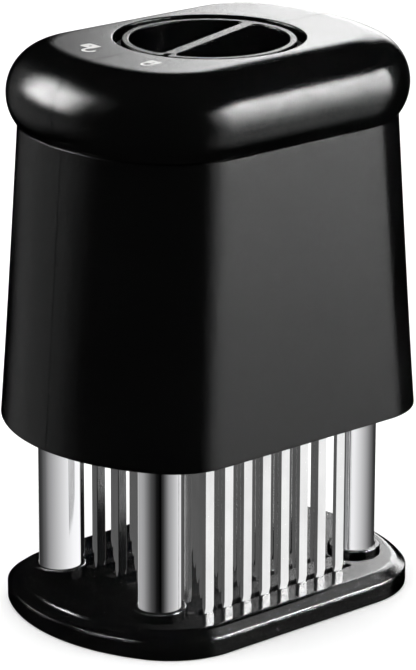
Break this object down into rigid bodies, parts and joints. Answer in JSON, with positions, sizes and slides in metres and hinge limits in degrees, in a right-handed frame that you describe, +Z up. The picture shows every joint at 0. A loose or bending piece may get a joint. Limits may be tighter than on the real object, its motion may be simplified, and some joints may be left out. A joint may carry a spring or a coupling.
{
  "type": "blade meat tenderizer",
  "caption": "Push-down blade meat tenderizer: a black housing slides on four chrome posts over a slotted base, pressing spring-returned needle blades through it.",
  "frame": {"origin": "under the middle of the base, on the surface it stands on", "axes": "+Z up, along the guide posts; +X along the long side; -Y is the front"},
  "size_m": [0.106, 0.0756, 0.145],
  "materials": {
    "housing_black": "moulded satin-gloss black, light orange peel",
    "base_black": "polished black, mirror-like top",
    "knob_black": "moulded satin-gloss black",
    "inner_plastic": "plain moulded black",
    "bush_plastic": "natural acetal, smooth",
    "post_chrome": "bright plated tube",
    "blade_steel": "stainless strip, ground bevels",
    "fastener_steel": "plain stainless",
    "rod_steel": "turned bright bar",
    "spring_steel": "drawn spring wire",
    "mark_paint": "pale grey printed padlock marks",
    "brake_rubber": "dull moulded rubber"
  },
  "bodies": {
    "base": {"base_lower_plate": "base_black", "base_upper_plate": "base_black", "post_collars": "base_black", "post_plugs": "inner_plastic", "post_end_caps": "inner_plastic", "post_screws": "fastener_steel", "guide_post_front_left": "post_chrome", "guide_post_front_right": "post_chrome", "guide_post_rear_left": "post_chrome", "guide_post_rear_right": "post_chrome", "return_spring_front_left": "spring_steel", "return_spring_front_right": "spring_steel", "return_spring_rear_left": "spring_steel", "return_spring_rear_right": "spring_steel"},
    "housing": {"skirt_front_half": "housing_black", "skirt_rear_half": "housing_black", "cap_front_half": "housing_black", "cap_rear_half": "housing_black", "guide_plate": "inner_plastic", "middle_deck": "inner_plastic", "top_frame": "inner_plastic", "lower_guide_bushes": "bush_plastic", "upper_guide_bushes": "bush_plastic", "lower_columns": "inner_plastic", "upper_columns": "inner_plastic", "tie_bolts": "fastener_steel", "tie_nuts": "fastener_steel", "plunger_nuts": "fastener_steel", "skirt_screws": "fastener_steel", "cap_screws": "fastener_steel", "blade_carrier": "inner_plastic", "carrier_screws": "fastener_steel", "comb_tie_rods": "fastener_steel", "comb_tie_nuts": "fastener_steel", "plunger_rod_front_left": "rod_steel", "plunger_rod_front_right": "rod_steel", "plunger_rod_rear_left": "rod_steel", "plunger_rod_rear_right": "rod_steel", "blade_comb_1": "blade_steel", "blade_comb_2": "blade_steel", "blade_comb_3": "blade_steel", "blade_comb_4": "blade_steel", "blade_comb_5": "blade_steel", "blade_comb_6": "blade_steel", "blade_comb_7": "blade_steel"},
    "lock_knob": {"lock_knob": "knob_black", "lock_spindle": "rod_steel", "spindle_clip": "spring_steel", "lock_cam": "bush_plastic", "cam_pin": "rod_steel"},
    "lock_slide_left": {"lock_slide_left": "inner_plastic", "brake_pads_left": "brake_rubber", "slide_pin_left": "rod_steel"},
    "lock_slide_right": {"lock_slide_right": "inner_plastic", "brake_pads_right": "brake_rubber", "slide_pin_right": "rod_steel"}
  },
  "joints": [
    {"name": "press", "type": "slide", "parent": "base", "child": "housing", "axis": [0, 0, -1], "range_m": [0, 0.038], "stiffness_N_per_m": 1400, "springref_m": -0.01, "deforming": ["return_spring_front_left", "return_spring_front_right", "return_spring_rear_left", "return_spring_rear_right"]},
    {"name": "lock_turn", "type": "hinge", "parent": "housing", "child": "lock_knob", "pos_m": [0, 0, 0.13], "axis": [0, 0, 1], "range_deg": [-36, 0]},
    {"name": "lock_slide_left_move", "type": "slide", "parent": "housing", "child": "lock_slide_left", "axis": [-1, 0, 0], "range_m": [-0.0041, 0.0001]},
    {"name": "lock_slide_right_move", "type": "slide", "parent": "housing", "child": "lock_slide_right", "axis": [1, 0, 0], "range_m": [-0.0041, 0.0001]}
  ],
  "couplings": [
    {"joint": "lock_slide_left_move", "follows": "lock_turn", "m_per_rad": 0.006366},
    {"joint": "lock_slide_right_move", "follows": "lock_turn", "m_per_rad": 0.006366}
  ]
}
